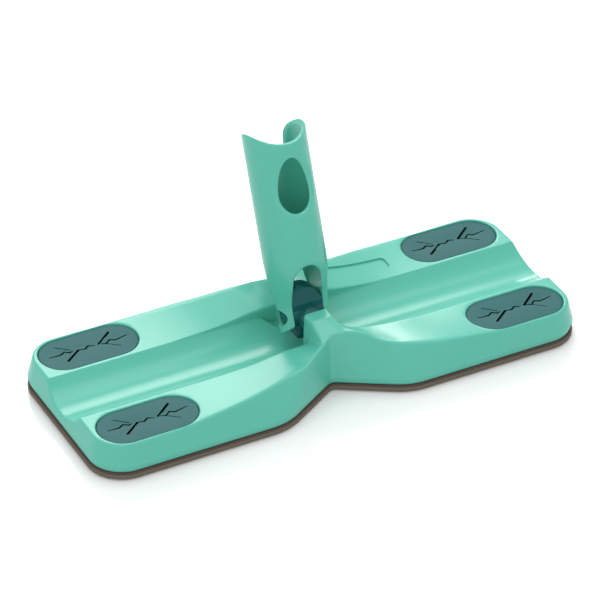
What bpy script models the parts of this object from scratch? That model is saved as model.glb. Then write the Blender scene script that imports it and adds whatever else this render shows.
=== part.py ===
"""Floor duster head: a waisted flat plate with four cloth grips and a tilting pole socket.

Frame: metres, +Z up, +X along the plate, +Y to its rear edge.  The origin is the middle of the
underside, where the sole meets the floor.
"""

import math

import bmesh
import bpy
from mathutils import Matrix

GAP = 0.0003                      # clearance between pieces that touch

# Plate outline
PLATE_LENGTH = 0.260
PLATE_DEPTH = 0.0988
CORNER_RADIUS = 0.018
WAIST_INSET = 0.0196              # how far the V of the waist cuts in from each long edge
WAIST_HALF_WIDTH = 0.0329
WAIST_SHOULDER_RADIUS = 0.0307
WAIST_ROOT_RADIUS = 0.0037

# Stack of layers, bottom to top
SOLE_THICKNESS = 0.0025
BACKING_THICKNESS = 0.0006
BASE_THICKNESS = 0.0030
BASE_INSET = 0.0006               # the base plate's edge is tucked in under the shell's rim

# Top shell
RIDGE_HEIGHT = 0.0180             # flat tops that carry the grips, above the floor
WAIST_HEIGHT = 0.0246             # outer edge of a ridge beside the waist
SHELL_WALL = 0.0022
END_LEAN = 0.25                   # sideways lean of the wall per unit of height, at the ends
MIDDLE_LEAN = 0.75                # what that lean grows to towards the middle
STRAIGHT_FROM = 0.1000            # distance from the middle where the lean starts to grow
WAIST_LEAN = 0.15                 # lean of the two facets of the waist
RIM_SOFTNESS = 0.0048             # how softly a wall turns into a facet, at the rim
CREASE_SOFTNESS = 0.0010          # and at the top
EDGE_ROUND = 0.0012
TROUGH_HALF_WIDTH = 0.0176
TROUGH_FLOOR = 0.0104
TROUGH_BEND = 0.73                # half width of the trough as a share of its radius
TROUGH_STEP = 0.0005              # narrow upright band between the trough and the ridge
RISE_START = 0.0200               # distance from the middle where a ridge has risen
RISE_END = 0.0880                 # and where its outer edge starts to rise
INNER_RISE_END = 0.0610           # and where its inner edge does
INNER_RISE = 0.0041

# Lugs that carry the swing pin, one on each ridge
LUG_HALF_WIDTH = 0.0057
LUG_FACE = 0.0105                 # distance of a lug's inner face from the middle plane
LUG_TOP = 0.0338
LUG_FRONT_TOP = 0.0314            # height where a lug meets the root of the waist
SWEEP_RIGHT = 0.0060              # length over which the right flank of a lug runs out
SWEEP_LEFT = 0.0012               # the left flank is steep
CREST_LEFT = (-0.0200, 0.0020)    # where the outer edge starts to climb to the lug, and has climbed
CREST_RIGHT = (0.0070, 0.0270)    # where it leaves the lug's height, and has come down

# Joint
PIVOT_HEIGHT = 0.0275
SWING_PIN_RADIUS = 0.0025
SWING_PIN_REACH = 0.0200          # half the length of the swing pin
TILT_PIN_RADIUS = 0.0040           # head, seen in the fork arm
TILT_PIN_STEM_RADIUS = 0.0024
TILT_PIN_WALL = 0.0012            # hub wall left between the swing pin and a tilt pin
TILT_PIN_SINK = 0.0014            # the head lies this far inside the arm's outer face
HUB_RADIUS = 0.0064
HUB_FIN_HEIGHT = 0.0156
HUB_FIN_HALF_WIDTH = 0.0104       # of the fin's whole oval, which the fork cuts off
HUB_FIN_THICKNESS = 0.0090
HUB_LEG_WIDTH = 0.0064
HUB_FOOT_RADIUS = 0.0150
HUB_FOOT_WIDTH = 0.0110

# Pole socket
SOCKET_RADIUS = 0.0155
SOCKET_WALL = 0.0025
SOCKET_LEAN = math.radians(21)    # the socket stands leaning back
SOCKET_TOP = 0.0970               # from the tilt axis, before the saddle is cut
SADDLE_RADIUS = 0.0230
SADDLE_DIP = 0.0860               # lowest point of the top edge, from the tilt axis
FORK_HALF_WIDTH = 0.0123          # outside of the fork arms at the tilt axis
FORK_SLOT_HALF_WIDTH = 0.0093
FORK_SLOT_HEIGHT = 0.0252         # top of the arch, from the tilt axis
FORK_END_RADIUS = 0.0085
FORK_TAPER_LENGTH = 0.0300
WINDOW_CENTRE = 0.0610            # widest place of the egg-shaped window, from the tilt axis
WINDOW_HALF_WIDTH = 0.0088
WINDOW_BELOW = 0.0098
WINDOW_ABOVE = 0.0175
REAR_SLOT_HALF_WIDTH = 0.0097
REAR_SLOT_BOTTOM = 0.0720         # from the tilt axis

# Cloth grips
GRIP_LENGTH = 0.0504
GRIP_WIDTH = 0.0252
GRIP_END_MARGIN = 0.0058          # from a grip's round end to the plate's end
GRIP_EDGE_MARGIN = 0.00445        # from a grip's long side to the plate's long edge
GRIP_SINK = 0.0006                # the pad's face below the ridge top
GRIP_THICKNESS = 0.0016           # rubber between the slits
GRIP_LEDGE = 0.0026               # the shell's ledge that the rubber rests on
GRIP_CUP = 0.0012                 # shell wall round and below the ledge
GRIP_SKIRT = 0.0012               # rim below the rubber that locates it in the ledge's opening
SLIT_WIDTH = 0.0007

SOLE_TOP = SOLE_THICKNESS
BACKING_TOP = SOLE_TOP + GAP + BACKING_THICKNESS
BASE_TOP = BACKING_TOP + GAP + BASE_THICKNESS
SHELL_BOTTOM = BASE_TOP + GAP
GRIP_SEAT = RIDGE_HEIGHT - GRIP_SINK - GRIP_THICKNESS - GAP
HALF_LENGTH = PLATE_LENGTH / 2
HALF_DEPTH = PLATE_DEPTH / 2
GRIP_X = HALF_LENGTH - GRIP_END_MARGIN - GRIP_LENGTH / 2
GRIP_Y = HALF_DEPTH - GRIP_EDGE_MARGIN - GRIP_WIDTH / 2
WAIST_ANGLE = math.atan2(WAIST_INSET, WAIST_HALF_WIDTH)


# ---------------------------------------------------------------- helpers
def start_scene():
    for obj in list(bpy.data.objects):
        bpy.data.objects.remove(obj, do_unlink=True)
    model = bpy.data.collections.new("floor_duster_head")
    cutters = bpy.data.collections.new("cutters")
    for collection in (model, cutters):
        bpy.context.scene.collection.children.link(collection)
    return model, cutters


MODEL, CUTTERS = start_scene()


def material(name, color, roughness, metallic=0.0):
    mat = bpy.data.materials.new(name)
    mat.use_nodes = True
    shader = mat.node_tree.nodes["Principled BSDF"]
    shader.inputs["Base Color"].default_value = (*color, 1)
    shader.inputs["Roughness"].default_value = roughness
    shader.inputs["Metallic"].default_value = metallic
    mat.diffuse_color = (*color, 1)
    return mat


MINT = material("mint_polypropylene", (0.13, 0.55, 0.42), 0.38)
DEEP_TEAL = material("deep_teal_nylon", (0.01, 0.08, 0.08), 0.35)
GRIP_TEAL = material("grip_teal_rubber", (0.05, 0.20, 0.20), 0.6)
SOLE_GREY = material("sole_grey_foam", (0.14, 0.12, 0.09), 0.9)
BACKING_BROWN = material("backing_brown_film", (0.10, 0.07, 0.07), 0.7)
STEEL = material("pin_steel", (0.55, 0.56, 0.57), 0.3, 1.0)


def add_object(name, bm, mat, collection=None):
    """Turn a bmesh into a named object with outward faces."""
    bmesh.ops.recalc_face_normals(bm, faces=bm.faces[:])
    mesh = bpy.data.meshes.new(name)
    bm.to_mesh(mesh)
    bm.free()
    obj = bpy.data.objects.new(name, mesh)
    (collection or MODEL).objects.link(obj)
    if mat is not None:
        mesh.materials.append(mat)
    return obj


def cutter(name, bm):
    obj = add_object(name, bm, None, CUTTERS)
    obj.hide_render = True
    obj.display_type = 'WIRE'
    return obj


def boolean(obj, other, operation):
    modifier = obj.modifiers.new(f"{operation.lower()}_{other.name}", 'BOOLEAN')
    modifier.operation = operation
    modifier.solver = 'EXACT'
    modifier.object = other


def loft(sections):
    """Closed solid through rings of equal length."""
    bm = bmesh.new()
    rings = [[bm.verts.new(point) for point in section] for section in sections]
    for low, high in zip(rings, rings[1:]):
        for i in range(len(low)):
            j = (i + 1) % len(low)
            bm.faces.new((low[i], low[j], high[j], high[i]))
    bm.faces.new(rings[0])
    bm.faces.new(reversed(rings[-1]))
    return bm


def three_sided(bm):
    """Split twisted faces into flat ones, so that cuts through them stay exact."""
    bmesh.ops.triangulate(bm, faces=[face for face in bm.faces if len(face.verts) == 4])
    return bm


def prism(outline, bottom, top):
    """Flat outline of (x, y) points, made solid between two heights."""
    return loft([[(x, y, z) for x, y in outline] for z in (bottom, top)])


def box(low, high):
    return prism([(low[0], low[1]), (high[0], low[1]), (high[0], high[1]), (low[0], high[1])],
                 low[2], high[2])


def rod(radius, start, end, axis, segments=24):
    """Cylinder along 'X', 'Y' or 'Z' from start to end of that axis."""
    bm = bmesh.new()
    bmesh.ops.create_cone(bm, cap_ends=True, segments=segments, radius1=radius, radius2=radius,
                          depth=end - start)
    bmesh.ops.translate(bm, vec=(0, 0, (start + end) / 2), verts=bm.verts)
    turns = {'X': Matrix.Rotation(math.pi / 2, 4, 'Y'),
             'Y': Matrix.Rotation(-math.pi / 2, 4, 'X'),
             'Z': Matrix.Identity(4)}
    bmesh.ops.transform(bm, matrix=turns[axis], verts=bm.verts)
    return bm


def arc(cx, cy, radius, start, end, steps):
    """Points of an arc, angles in degrees."""
    angles = (math.radians(start + (end - start) * i / steps) for i in range(steps + 1))
    return [(cx + radius * math.cos(a), cy + radius * math.sin(a)) for a in angles]


def stadium(cx, cy, length, width, steps=10):
    """Outline with two straight sides and half-round ends."""
    reach = (length - width) / 2
    return (arc(cx + reach, cy, width / 2, -90, 90, steps)
            + arc(cx - reach, cy, width / 2, 90, 270, steps))


def smooth_step(value, start, end):
    t = min(max((value - start) / (end - start), 0.0), 1.0)
    return t * t * (3 - 2 * t)


# ---------------------------------------------------------------- plate outline
def half_depth(x, inset=0.0):
    """Distance from the middle plane to the long edge at x, moved in by inset."""
    x = abs(x)
    reach = WAIST_SHOULDER_RADIUS * math.tan(WAIST_ANGLE / 2)
    edge = HALF_DEPTH - inset
    slope_shift = inset * (1 / math.cos(WAIST_ANGLE) - 1)
    root_radius = WAIST_ROOT_RADIUS + inset
    shoulder = WAIST_SHOULDER_RADIUS - inset
    line = HALF_DEPTH - WAIST_INSET - inset - slope_shift + x * math.tan(WAIST_ANGLE)
    if x < root_radius * math.sin(WAIST_ANGLE):
        middle = HALF_DEPTH - WAIST_INSET + WAIST_ROOT_RADIUS / math.cos(WAIST_ANGLE)
        return middle - math.sqrt(root_radius ** 2 - x ** 2)
    shoulder_x = WAIST_HALF_WIDTH + reach
    if x < shoulder_x - shoulder * math.sin(WAIST_ANGLE):
        return line
    if x < shoulder_x:
        return edge - shoulder + math.sqrt(shoulder ** 2 - (shoulder_x - x) ** 2)
    corner = CORNER_RADIUS - inset
    corner_x = HALF_LENGTH - CORNER_RADIUS
    if x > corner_x:
        return edge - corner + math.sqrt(max(corner ** 2 - (x - corner_x) ** 2, 0.0))
    return edge


def stations(inset=0.0):
    """Places along X where the outline needs a point, from one end to the other."""
    corner = CORNER_RADIUS - inset
    corner_x = HALF_LENGTH - CORNER_RADIUS
    shoulder_x = WAIST_HALF_WIDTH + WAIST_SHOULDER_RADIUS * math.tan(WAIST_ANGLE / 2)
    places = [0.0012, 0.0030, 0.0045, 0.0057, 0.0070, 0.0090, 0.0115, 0.0145, 0.0185, 0.0225]
    places += [shoulder_x - (WAIST_SHOULDER_RADIUS - inset) * math.sin(WAIST_ANGLE) * k / 4
               for k in (4, 3, 2, 1, 0)]
    places += [0.048, 0.055, 0.062, 0.069, RISE_END, 0.095]
    places += [corner_x + corner * math.sin(math.radians(angle)) for angle in range(0, 91, 15)]
    half = sorted(places)
    return [-x for x in reversed(half)] + [0.0] + half


def plate_outline(inset=0.0):
    xs = stations(inset)
    return ([(x, -half_depth(x, inset)) for x in xs]
            + [(x, half_depth(x, inset)) for x in reversed(xs)])


# ---------------------------------------------------------------- sculpted top
def soft_min(a, b, softness):
    near = max(softness - abs(a - b), 0.0) / softness
    return min(a, b) - near * near * softness / 4


def waist_line(x):
    """Distance of the V of the waist from the middle plane, without its shoulders."""
    if abs(x) < WAIST_ROOT_RADIUS * math.sin(WAIST_ANGLE):
        return half_depth(x)
    return HALF_DEPTH - WAIST_INSET + abs(x) * math.tan(WAIST_ANGLE)


def wall_distance(x, z, offset):
    """Distance of the side wall from the middle plane.  It leans in more towards the middle, where
    a facet of the waist cuts it off."""
    rise = z - SHELL_BOTTOM
    corner_x = HALF_LENGTH - CORNER_RADIUS
    rim = half_depth(x, offset) if abs(x) > corner_x else HALF_DEPTH - offset
    lean = END_LEAN + (MIDDLE_LEAN - END_LEAN) * max(0.0, 1 - abs(x) / STRAIGHT_FROM)
    waist = waist_line(x) - offset - WAIST_LEAN * rise
    share = min(rise / (RIDGE_HEIGHT - SHELL_BOTTOM), 1.0)
    softness = RIM_SOFTNESS + (CREASE_SOFTNESS - RIM_SOFTNESS) * share
    return soft_min(rim - lean * rise, waist, softness)


def outer_height(x):
    """Top of a ridge at its outer edge."""
    rise = min(max((RISE_END - abs(x)) / (RISE_END - RISE_START), 0.0), 1.0) ** 1.5
    ridge = RIDGE_HEIGHT + (WAIST_HEIGHT - RIDGE_HEIGHT) * rise
    crest = smooth_step(x, *CREST_LEFT) * (1 - smooth_step(x, *CREST_RIGHT))
    return ridge + (LUG_FRONT_TOP - ridge) * crest


def inner_height(x):
    """Top of a ridge where it meets the trough."""
    ridge = RIDGE_HEIGHT + INNER_RISE * (1 - smooth_step(abs(x), 0, INNER_RISE_END))
    run = SWEEP_RIGHT if x > 0 else SWEEP_LEFT
    lug = math.exp(-max(abs(x) - LUG_HALF_WIDTH, 0.0) / run)
    return ridge + (LUG_TOP - 0.0004 - ridge) * lug


def trough_height(y):
    """Round-bottomed trough between the ridges."""
    t = min(abs(y) / TROUGH_HALF_WIDTH, 1.0) * TROUGH_BEND
    share = (1 - math.sqrt(1 - t * t)) / (1 - math.sqrt(1 - TROUGH_BEND ** 2))
    return TROUGH_FLOOR + (RIDGE_HEIGHT - TROUGH_FLOOR) * share


def half_section(x, offset):
    """(y, z) points of the shell at x from the rim to the middle; offset shrinks it evenly."""
    high = outer_height(x) - offset
    points = [(half_depth(x, offset), SHELL_BOTTOM)]
    for share in (0.25, 0.6):
        z = SHELL_BOTTOM + (high - SHELL_BOTTOM) * share
        points.append((wall_distance(x, z, offset), z))
    shoulder = wall_distance(x, high, offset)
    for angle in (0, 45, 90):
        a = math.radians(angle)
        points.append((shoulder - EDGE_ROUND * (1 - math.cos(a)),
                       high - EDGE_ROUND * (1 - math.sin(a))))
    inner = inner_height(x) - offset
    edge = TROUGH_HALF_WIDTH + offset
    middle = (shoulder - EDGE_ROUND + edge) / 2
    points.append((middle, (high + inner) / 2))
    points.append((edge, inner))
    foot = edge - TROUGH_STEP
    points.append((foot, trough_height(TROUGH_HALF_WIDTH - TROUGH_STEP) - offset))
    for share in (0.78, 0.55, 0.30, 0.0):
        y = TROUGH_HALF_WIDTH * share
        points.append((y, trough_height(y) - offset))
    return points


def shell_sections(offset, bottom):
    """Rings of the shell along X, closed by leaning end walls."""
    reach = HALF_LENGTH - offset
    places = [x for x in stations(offset) if abs(x) < reach - 0.0030]
    lean = END_LEAN * (RIDGE_HEIGHT - SHELL_BOTTOM)
    ends = [(reach, 0.0), (reach - lean * 0.95, 0.90), (reach - lean - EDGE_ROUND, 1.0)]
    plan = [(-x, share) for x, share in ends]
    plan += [(x, 1.0) for x in places if abs(x) < reach - lean - 2 * EDGE_ROUND]
    plan += [(x, share) for x, share in reversed(ends)]
    rings = []
    for x, share in plan:
        half = half_section(x, offset)
        low = SHELL_BOTTOM + 0.0008
        half = [(y, low + (z - low) * share if z > low else z) for y, z in half]
        half[0] = (half[0][0], bottom)
        ring = [(x, -y, z) for y, z in half]
        ring += [(x, y, z) for y, z in reversed(half[:-1])]
        rings.append(ring)
    return rings


def make_head_shell():
    shell = add_object("head_shell", three_sided(loft(shell_sections(0.0, SHELL_BOTTOM))), MINT)
    for side, name in ((-1, "front"), (1, "rear")):
        near, far = side * LUG_FACE, side * (TROUGH_HALF_WIDTH + 0.0030)
        lug = cutter(f"lug_{name}_body", box(
            (-LUG_HALF_WIDTH, min(near, far), TROUGH_FLOOR - 0.0006),
            (LUG_HALF_WIDTH, max(near, far), LUG_TOP - 0.0006)))
        boolean(shell, lug, 'UNION')
    cavity = cutter("shell_cavity", three_sided(loft(shell_sections(SHELL_WALL,
                                                                    SHELL_BOTTOM - 0.002))))
    boolean(shell, cavity, 'DIFFERENCE')
    bore = cutter("swing_bore", rod(SWING_PIN_RADIUS + GAP, -SWING_PIN_REACH - GAP,
                                    SWING_PIN_REACH + GAP, 'Y', 16))
    bore.location.z = PIVOT_HEIGHT
    boolean(shell, bore, 'DIFFERENCE')
    for x, y, name in grip_places():
        wide, narrow = 2 * (GAP + GRIP_CUP), -2 * GRIP_LEDGE
        for word, grow, low, high, operation in (
                ("cup", wide, GRIP_SEAT - GRIP_CUP, GRIP_SEAT + GRIP_CUP, 'UNION'),
                ("pocket", 2 * GAP, GRIP_SEAT, RIDGE_HEIGHT + GRIP_CUP, 'DIFFERENCE'),
                ("opening", narrow, GRIP_SEAT - 2 * GRIP_CUP, GRIP_SEAT + GRIP_THICKNESS, 'DIFFERENCE')):
            tool = cutter(f"grip_{word}_{name}", prism(
                stadium(x, y, GRIP_LENGTH + grow, GRIP_WIDTH + grow), low, high))
            boolean(shell, tool, operation)


# ---------------------------------------------------------------- layers under the shell
def make_layers():
    add_object("sole_pad", prism(plate_outline(), 0.0, SOLE_TOP), SOLE_GREY)
    add_object("sole_backing", prism(plate_outline(0.0004), SOLE_TOP + GAP, BACKING_TOP),
               BACKING_BROWN)
    add_object("base_plate", prism(plate_outline(BASE_INSET), BACKING_TOP + GAP, BASE_TOP), MINT)


# ---------------------------------------------------------------- cloth grips
def grip_places():
    return [(sx * GRIP_X, sy * GRIP_Y, f"{depth}_{side}")
            for sx, side in ((-1, "left"), (1, "right"))
            for sy, depth in ((-1, "front"), (1, "rear"))]


def slit_outline():
    """Jagged band along the middle of a grip, as a closed outline."""
    reach = GRIP_LENGTH / 2 - GRIP_WIDTH * 0.22
    swing = GRIP_WIDTH * 0.13
    spine = [(reach * (k / 3.5 - 1), swing * (-1) ** k + reach * (k / 3.5 - 1) * 0.18)
             for k in range(8)]
    lower = [(x, y - SLIT_WIDTH) for x, y in spine]
    upper = [(x, y + SLIT_WIDTH) for x, y in spine]
    return lower + upper[::-1]


def make_grips():
    top = GRIP_SEAT + GAP + GRIP_THICKNESS
    bottom = GRIP_SEAT - GRIP_CUP
    inner = -2 * (GRIP_LEDGE + GAP)
    for x, y, name in grip_places():
        grip = add_object(f"cloth_grip_{name}", prism(
            stadium(0, 0, GRIP_LENGTH, GRIP_WIDTH), GRIP_SEAT + GAP, top), GRIP_TEAL)
        skirt = cutter(f"grip_skirt_{name}", prism(
            stadium(0, 0, GRIP_LENGTH + inner, GRIP_WIDTH + inner),
            bottom, top - GRIP_THICKNESS / 2))
        hollow = cutter(f"grip_hollow_{name}", prism(
            stadium(0, 0, GRIP_LENGTH + inner - 2 * GRIP_SKIRT,
                    GRIP_WIDTH + inner - 2 * GRIP_SKIRT),
            bottom - GRIP_THICKNESS, top - GRIP_THICKNESS))
        cut = cutter(f"grip_slit_{name}", prism(slit_outline(), bottom, top + GRIP_THICKNESS))
        boolean(grip, skirt, 'UNION')
        boolean(grip, hollow, 'DIFFERENCE')
        boolean(grip, cut, 'DIFFERENCE')
        for piece in (grip, skirt, hollow, cut):
            piece.location.x = x
            piece.location.y = y


# ---------------------------------------------------------------- joint
def make_hub():
    """Cross of the joint: a barrel on each axis, a fin above and a leg with a foot below."""
    reach = FORK_SLOT_HALF_WIDTH - GAP
    hub = add_object("joint_hub", rod(HUB_RADIUS, -reach, reach, 'X', 28), DEEP_TEAL)
    hub.location.z = PIVOT_HEIGHT
    barrel = cutter("hub_swing_barrel", rod(HUB_RADIUS * 0.92, -LUG_FACE + GAP, LUG_FACE - GAP,
                                            'Y', 28))
    half = HUB_FIN_THICKNESS / 2
    oval = [(HUB_FIN_HALF_WIDTH * px, HUB_FIN_HEIGHT * pz) for px, pz in arc(0, 0, 1, 36, 144, 12)]
    fin_outline = [(reach, 0.0)] + [(min(max(px, -reach), reach), pz) for px, pz in oval]
    fin_outline.append((-reach, 0.0))
    fin = cutter("hub_fin", loft([[(px, y, pz) for px, pz in fin_outline]
                                  for y in (-half, half)]))
    leg = HUB_LEG_WIDTH / 2
    foot_angle = math.degrees(math.asin(HUB_FOOT_WIDTH / 2 / HUB_FOOT_RADIUS))
    leg_outline = [(leg, 0.0), (leg, -HUB_FOOT_RADIUS * 0.66)]
    leg_outline += arc(0, 0, HUB_FOOT_RADIUS, -90 + foot_angle, -90 - foot_angle, 6)
    leg_outline += [(-leg, -HUB_FOOT_RADIUS * 0.66), (-leg, 0.0)]
    deep = HUB_FIN_THICKNESS * 0.42
    foot = cutter("hub_leg", loft([[(px, y, pz) for px, pz in leg_outline]
                                   for y in (-deep, deep)]))
    for piece in (barrel, fin, foot):
        piece.location.z = PIVOT_HEIGHT
        boolean(hub, piece, 'UNION')
    swing = cutter("hub_swing_bore", rod(SWING_PIN_RADIUS + GAP, -0.02, 0.02, 'Y', 16))
    swing.location.z = PIVOT_HEIGHT
    boolean(hub, swing, 'DIFFERENCE')
    for side, name in ((-1, "left"), (1, "right")):
        ends = sorted((side * (SWING_PIN_RADIUS + TILT_PIN_WALL), side * (reach + 0.002)))
        hole = cutter(f"hub_tilt_hole_{name}", rod(TILT_PIN_STEM_RADIUS + GAP, *ends, 'X', 16))
        hole.location.z = PIVOT_HEIGHT
        boolean(hub, hole, 'DIFFERENCE')


def make_pins():
    swing = add_object("swing_pin", rod(SWING_PIN_RADIUS, -SWING_PIN_REACH, SWING_PIN_REACH,
                                        'Y', 16), STEEL)
    swing.location.z = PIVOT_HEIGHT
    for side, name in ((-1, "left"), (1, "right")):
        inner = SWING_PIN_RADIUS + TILT_PIN_WALL + GAP
        ends = sorted((side * inner, side * (FORK_SLOT_HALF_WIDTH + 0.0010)))
        pin = add_object(f"tilt_pin_{name}", rod(TILT_PIN_STEM_RADIUS, *ends, 'X', 16), DEEP_TEAL)
        head_ends = sorted((side * (FORK_SLOT_HALF_WIDTH + 2 * GAP),
                            side * (FORK_HALF_WIDTH - TILT_PIN_SINK)))
        head = cutter(f"tilt_pin_head_{name}", rod(TILT_PIN_RADIUS, *head_ends, 'X', 20))
        boolean(pin, head, 'UNION')
        for piece in (pin, head):
            piece.location.z = PIVOT_HEIGHT


# ---------------------------------------------------------------- pole socket
def socket_half_sizes(s, offset=0.0):
    """Half width in X and half depth in Y of the socket at s from the tilt axis."""
    full = SOCKET_RADIUS
    width = FORK_HALF_WIDTH + (full - FORK_HALF_WIDTH) * smooth_step(s, 0, FORK_TAPER_LENGTH)
    if s < 0:
        depth = math.sqrt(max(FORK_END_RADIUS ** 2 - s ** 2, 0.0006 ** 2))
    else:
        depth = FORK_END_RADIUS + (full - FORK_END_RADIUS) * smooth_step(s, 0.002, 0.024)
    return width - offset, depth - offset


def socket_ring(s, offset=0.0, segments=40):
    width, depth = socket_half_sizes(s, offset)
    turns = (2 * math.pi * i / segments for i in range(segments))
    return [(width * math.cos(a), depth * math.sin(a), s) for a in turns]


def window_outline(steps=20):
    """Egg shape of (x, s) points, blunt end down."""
    points = []
    for i in range(steps):
        a = 2 * math.pi * i / steps
        reach = WINDOW_ABOVE if math.sin(a) > 0 else WINDOW_BELOW
        points.append((WINDOW_HALF_WIDTH * math.cos(a), WINDOW_CENTRE + reach * math.sin(a)))
    return points


def make_socket():
    low = [-FORK_END_RADIUS * math.cos(math.radians(a)) for a in (6, 25, 45, 65, 82)]
    heights = low + [0.0, 0.004, 0.008, 0.012, 0.016, 0.020, 0.024, FORK_TAPER_LENGTH, SOCKET_TOP]
    socket = add_object("pole_socket", loft([socket_ring(s) for s in heights]), MINT)
    floor = FORK_SLOT_HEIGHT - FORK_SLOT_HALF_WIDTH - 0.004
    bore_heights = [floor, 0.020, 0.024, FORK_TAPER_LENGTH, SOCKET_TOP + 0.005]
    tools = [cutter("pole_bore", loft([socket_ring(s, SOCKET_WALL) for s in bore_heights]))]
    arch_centre = FORK_SLOT_HEIGHT - FORK_SLOT_HALF_WIDTH
    arch = arc(0, arch_centre, FORK_SLOT_HALF_WIDTH, 0, 180, 12)
    arch += [(-FORK_SLOT_HALF_WIDTH, -0.012), (FORK_SLOT_HALF_WIDTH, -0.012)]
    reach = SOCKET_RADIUS + 0.004
    tools.append(cutter("fork_arch", loft([[(x, y, s) for x, s in arch] for y in (-reach, reach)])))
    tools.append(cutter("window", loft([[(x, y, s) for x, s in window_outline()]
                                        for y in (-reach, -SOCKET_RADIUS * 0.4)])))
    saddle = rod(SADDLE_RADIUS, -reach, reach, 'Y', 48)
    bmesh.ops.translate(saddle, vec=(0, 0, SADDLE_DIP + SADDLE_RADIUS), verts=saddle.verts)
    tools.append(cutter("saddle", saddle))
    slot = arc(0, REAR_SLOT_BOTTOM + REAR_SLOT_HALF_WIDTH, REAR_SLOT_HALF_WIDTH, 180, 360, 10)
    slot += [(REAR_SLOT_HALF_WIDTH, SOCKET_TOP + 0.004), (-REAR_SLOT_HALF_WIDTH, SOCKET_TOP + 0.004)]
    tools.append(cutter("rear_slot", loft([[(x, y, s) for x, s in slot]
                                           for y in (SOCKET_RADIUS * 0.4, reach)])))
    tools.append(cutter("tilt_holes", rod(TILT_PIN_RADIUS + GAP, -0.03, 0.03, 'X', 20)))
    axis = bpy.data.objects.new("tilt_axis", None)
    MODEL.objects.link(axis)
    axis.location.z = PIVOT_HEIGHT
    axis.rotation_euler.x = -SOCKET_LEAN
    for tool in tools:
        tool.parent = axis
        boolean(socket, tool, 'DIFFERENCE')
    socket.parent = axis


make_head_shell()
make_layers()
make_grips()
make_hub()
make_pins()
make_socket()
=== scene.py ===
# %% [markdown]
# # A floor duster head
# This is the flat head of a floor duster: a waisted plate that a dusting cloth is wrapped round,
# four rubber grips that hold the cloth, and a pole socket on a joint that tilts two ways.
# The sizes that matter, where the pieces are and how they move, come from the solid model that is
# loaded first. This lesson builds the surfaces that show, at a finer grain, round those solids.

# %% Load the solid model
import math
import bmesh
import bpy
from mathutils import Matrix, Vector
from mathutils.geometry import delaunay_2d_cdt
from mathutils.kdtree import KDTree


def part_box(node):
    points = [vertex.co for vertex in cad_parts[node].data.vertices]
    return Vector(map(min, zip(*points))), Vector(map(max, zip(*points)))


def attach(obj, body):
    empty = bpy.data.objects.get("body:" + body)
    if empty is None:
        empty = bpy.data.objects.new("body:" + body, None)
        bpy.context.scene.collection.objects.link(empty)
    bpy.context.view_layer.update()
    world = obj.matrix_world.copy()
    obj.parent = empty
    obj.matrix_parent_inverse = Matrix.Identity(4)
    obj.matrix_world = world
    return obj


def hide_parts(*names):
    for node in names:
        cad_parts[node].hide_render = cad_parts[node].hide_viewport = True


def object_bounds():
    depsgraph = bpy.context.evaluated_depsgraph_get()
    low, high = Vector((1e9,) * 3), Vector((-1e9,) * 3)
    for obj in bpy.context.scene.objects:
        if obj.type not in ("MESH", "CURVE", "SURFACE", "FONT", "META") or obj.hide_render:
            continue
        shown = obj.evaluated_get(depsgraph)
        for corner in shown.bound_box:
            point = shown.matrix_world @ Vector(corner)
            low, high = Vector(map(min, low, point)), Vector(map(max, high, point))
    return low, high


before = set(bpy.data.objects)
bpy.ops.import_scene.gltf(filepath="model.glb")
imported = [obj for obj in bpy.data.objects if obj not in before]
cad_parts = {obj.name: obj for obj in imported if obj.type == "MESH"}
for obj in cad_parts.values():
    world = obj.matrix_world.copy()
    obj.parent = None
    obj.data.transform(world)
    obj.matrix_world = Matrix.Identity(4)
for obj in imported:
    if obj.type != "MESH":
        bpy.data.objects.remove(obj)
cad_low, cad_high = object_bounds()
print("solid model:", [round((high - low) * 1000, 1) for low, high in zip(cad_low, cad_high)], "mm")

# %% [markdown]
# Plastic parts are drawn in millimetres, so that is how the shapes below are written. One helper
# turns finished work into a piece: it scales to metres, shades smooth, keeps edges over an angle
# crisp, and says which moving body carries the piece and which solids it stands for.

# %% Helpers that make pieces
MM = 0.001
CRISP_ANGLE = math.radians(38)
LONG, DEEP = (round((cad_high[i] - cad_low[i]) / MM, 1) for i in (0, 1))
PIVOT = Vector((0, 0, (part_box("swing_pin")[0][2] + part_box("swing_pin")[1][2]) / 2 / MM))
print("plate", LONG, "by", DEEP, "mm, pivot at", tuple(PIVOT))


def mesh_object(name, bm):
    """A bmesh in millimetres becomes an object in metres with outward faces."""
    bmesh.ops.recalc_face_normals(bm, faces=bm.faces[:])
    bmesh.ops.scale(bm, vec=(MM, MM, MM), verts=bm.verts)
    mesh = bpy.data.meshes.new(name)
    bm.to_mesh(mesh)
    bm.free()
    obj = bpy.data.objects.new(name, mesh)
    bpy.context.scene.collection.objects.link(obj)
    return obj


def apply_modifiers(obj):
    """Fix the modifiers into the mesh, so that helper objects can go."""
    graph = bpy.context.evaluated_depsgraph_get()
    done = bpy.data.meshes.new_from_object(obj.evaluated_get(graph))
    old = obj.data
    obj.modifiers.clear()
    obj.data = done
    done.name = obj.name
    bpy.data.meshes.remove(old)


def cut(obj, tools, operation='DIFFERENCE'):
    """Boolean each tool with obj, one after the other, and delete the tools."""
    for tool in tools:
        modifier = obj.modifiers.new(tool.name, 'BOOLEAN')
        modifier.operation = operation
        modifier.solver = 'EXACT'
        modifier.object = tool
        modifier.material_mode = 'TRANSFER'
    apply_modifiers(obj)
    for tool in tools:
        bpy.data.objects.remove(tool, do_unlink=True)


def round_edges(obj, width, angle):
    """Round every edge over an angle, as a mould leaves it."""
    modifier = obj.modifiers.new("mould_radius", 'BEVEL')
    modifier.width = width * MM
    modifier.segments = 3
    modifier.limit_method = 'ANGLE'
    modifier.angle_limit = math.radians(angle)
    modifier.miter_outer = 'MITER_ARC'
    apply_modifiers(obj)


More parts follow.
